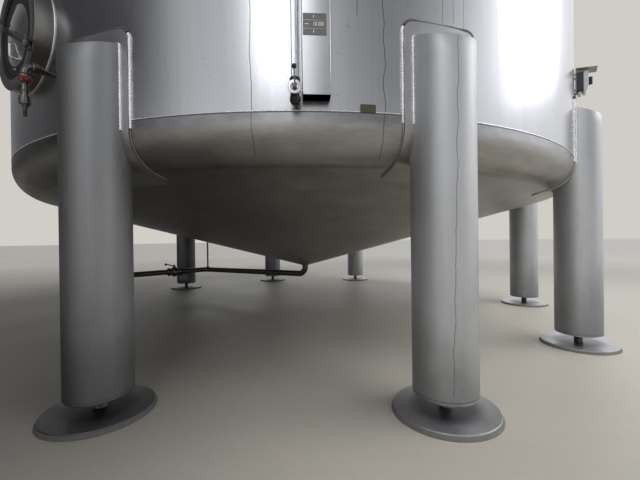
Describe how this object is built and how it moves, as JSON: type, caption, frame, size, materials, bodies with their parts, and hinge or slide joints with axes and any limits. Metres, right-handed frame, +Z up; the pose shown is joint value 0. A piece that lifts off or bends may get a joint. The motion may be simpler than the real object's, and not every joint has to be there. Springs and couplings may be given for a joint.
{
  "type": "vertical storage tank",
  "caption": "Vertical stainless storage tank with toriconical ends on tubular legs with screwed feet, side manway, level gauge, sampling valve, isolator and bottom outlet.",
  "frame": {"origin": "on the floor at the tank's vertical axis", "axes": "+Z up along the tank's axis, -Y towards the level gauge, +X to the right of it"},
  "size_m": [4.9808, 4.7892, 8.1213],
  "materials": {
    "shell": "dull rolled stainless sheet with fine streaks",
    "ends": "pickled stainless plate, darker and uneven",
    "legs": "blasted matte stainless tube",
    "pads": "dull stainless plate with bright weld edges",
    "feet": "dull dark stainless plate, stained",
    "polished": "polished stainless",
    "fittings": "satin stainless",
    "pipework": "satin stainless pipe",
    "dark_metal": "dark dull stainless casting",
    "gasket": "black rubber",
    "gauge_glass": "clear tube",
    "black_plastic": "black moulded plastic",
    "red_plastic": "red dipped handle",
    "grey_plastic": "light grey moulded cover",
    "slate_plastic": "slate grey moulded base",
    "tag": "dull coated plate"
  },
  "bodies": {
    "tank": {"shell_course_1": "shell", "shell_course_2": "shell", "shell_course_3": "shell", "bottom_end": "ends", "roof_end": "ends", "roof_nozzle": "fittings", "vent_cap": "fittings", "manway_neck": "polished", "manway_gasket": "gasket", "gauge_lower_cock": "fittings", "gauge_upper_cock": "fittings", "gauge_glass": "gauge_glass", "scale_channel": "fittings", "tag_plate": "tag", "sample_pipe": "fittings", "sample_valve": "fittings", "isolator_canopy": "fittings", "isolator_base": "slate_plastic", "isolator_cover": "grey_plastic", "outlet_pipe": "pipework", "outlet_hanger": "pipework", "outlet_valve": "dark_metal", "outlet_spool": "pipework", "leg_1": "legs", "leg_2": "legs", "leg_3": "legs", "leg_4": "legs", "leg_5": "legs", "leg_6": "legs", "leg_7": "legs", "leg_8": "legs", "leg_9": "legs", "leg_pad_1": "pads", "leg_pad_2": "pads", "leg_pad_3": "pads", "leg_pad_4": "pads", "leg_pad_5": "pads", "leg_pad_6": "pads", "leg_pad_7": "pads", "leg_pad_8": "pads", "leg_pad_9": "pads", "foot_1": "feet", "foot_2": "feet", "foot_3": "feet", "foot_4": "feet", "foot_5": "feet", "foot_6": "feet", "foot_7": "feet", "foot_8": "feet", "foot_9": "feet"},
    "door": {"manway_door": "polished", "manway_crossbar": "dark_metal"},
    "hand_screw": {"manway_hand_screw": "dark_metal"},
    "gauge_lever": {"gauge_cock_lever": "black_plastic"},
    "sample_lever": {"sample_valve_lever": "red_plastic"},
    "switch_knob": {"isolator_knob": "black_plastic"},
    "outlet_lever": {"outlet_valve_lever": "black_plastic"}
  },
  "joints": [
    {"name": "manway_hinge", "type": "hinge", "parent": "tank", "child": "door", "pos_m": [-1.09181, -2.08973, 1.55222], "axis": [0.4075, -0.2626, 0.8746], "range_deg": [0, 110]},
    {"name": "hand_screw_turn", "type": "hinge", "parent": "door", "child": "hand_screw", "pos_m": [-1.27843, -1.98374, 1.671], "axis": [-0.5417, -0.8406, 0], "continuous": true},
    {"name": "gauge_cock_turn", "type": "hinge", "parent": "tank", "child": "gauge_lever", "pos_m": [0.07803, -2.36471, 1.23], "axis": [0.033, -0.9995, 0], "range_deg": [0, 90]},
    {"name": "sample_valve_turn", "type": "hinge", "parent": "tank", "child": "sample_lever", "pos_m": [-0.97551, -2.21049, 1.336], "axis": [0.91, -0.4147, 0], "range_deg": [0, 90]},
    {"name": "isolator_turn", "type": "hinge", "parent": "tank", "child": "switch_knob", "pos_m": [1.90119, -1.38129, 1.689], "axis": [0.809, -0.5878, 0], "range_deg": [0, 90]},
    {"name": "outlet_valve_turn", "type": "hinge", "parent": "tank", "child": "outlet_lever", "pos_m": [-1.56487, 0.40914, 0.4], "axis": [0, 0, 1], "range_deg": [0, 90]}
  ]
}
